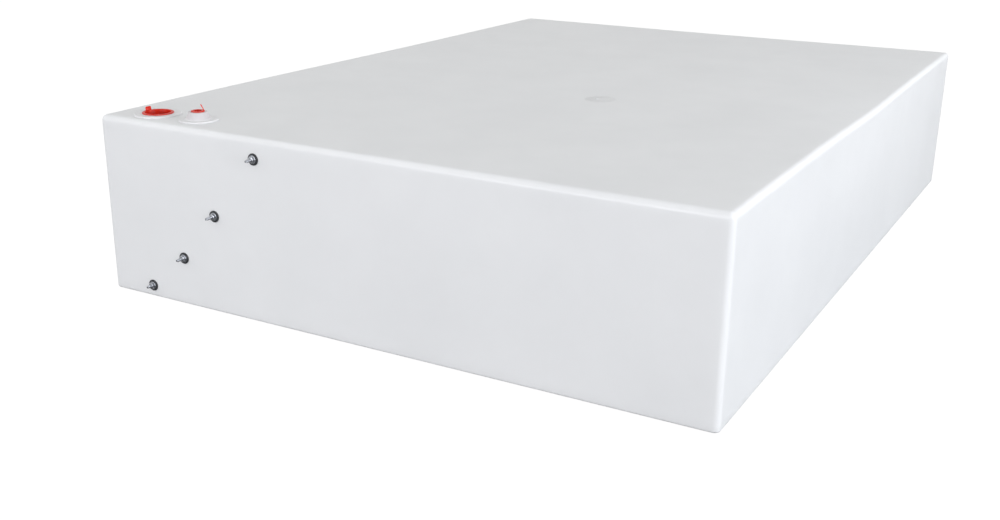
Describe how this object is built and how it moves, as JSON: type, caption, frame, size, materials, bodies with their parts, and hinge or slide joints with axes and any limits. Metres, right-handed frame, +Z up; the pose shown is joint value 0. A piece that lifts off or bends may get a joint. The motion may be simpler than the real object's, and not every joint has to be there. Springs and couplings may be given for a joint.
{
  "type": "fresh water tank",
  "caption": "Flat rectangular rotomoulded water tank with threaded fill, vent, outlet and drain ports closed by pull-out plugs, and stud level probes up the front.",
  "frame": {"origin": "centre of the flat underside", "axes": "+X along the narrow front face to the right, +Y along the length from the front face to the back, +Z up"},
  "size_m": [0.9264, 1.2865, 0.276],
  "materials": {
    "natural_polyethylene": "translucent milky rotomoulded polyethylene, satin",
    "white_polyethylene": "machined and welded natural polyethylene, satin",
    "red_polyethylene": "soft moulded red polyethylene, slightly glossy",
    "rubber": "black moulded rubber",
    "stainless": "turned and stamped stainless steel",
    "brass": "plain turned brass"
  },
  "bodies": {
    "tank": {"tank_shell": "natural_polyethylene", "fill_fitting": "white_polyethylene", "vent_fitting": "white_polyethylene", "outlet_fitting": "white_polyethylene", "drain_fitting": "white_polyethylene", "mould_vent_plug": "natural_polyethylene", "probe_1_stud": "stainless", "probe_1_well_nut": "rubber", "probe_1_insert": "brass", "probe_1_washer": "stainless", "probe_1_lock_washer": "stainless", "probe_1_nut": "stainless", "probe_2_stud": "stainless", "probe_2_well_nut": "rubber", "probe_2_insert": "brass", "probe_2_washer": "stainless", "probe_2_lock_washer": "stainless", "probe_2_nut": "stainless", "probe_3_stud": "stainless", "probe_3_well_nut": "rubber", "probe_3_insert": "brass", "probe_3_washer": "stainless", "probe_3_lock_washer": "stainless", "probe_3_nut": "stainless", "probe_4_stud": "stainless", "probe_4_well_nut": "rubber", "probe_4_insert": "brass", "probe_4_washer": "stainless", "probe_4_lock_washer": "stainless", "probe_4_nut": "stainless"},
    "fill_plug": {"fill_plug": "red_polyethylene"},
    "vent_plug": {"vent_plug": "red_polyethylene"},
    "outlet_plug": {"outlet_plug": "red_polyethylene"},
    "drain_plug": {"drain_plug": "red_polyethylene"}
  },
  "joints": [
    {"name": "fill_plug_pull", "type": "slide", "parent": "tank", "child": "fill_plug", "axis": [0, 0, 1], "range_m": [0, 0.06]},
    {"name": "vent_plug_pull", "type": "slide", "parent": "tank", "child": "vent_plug", "axis": [0, 0, 1], "range_m": [0, 0.05]},
    {"name": "outlet_plug_pull", "type": "slide", "parent": "tank", "child": "outlet_plug", "axis": [-1, 0, 0], "range_m": [0, 0.05]},
    {"name": "drain_plug_pull", "type": "slide", "parent": "tank", "child": "drain_plug", "axis": [-1, 0, 0], "range_m": [0, 0.05]}
  ]
}
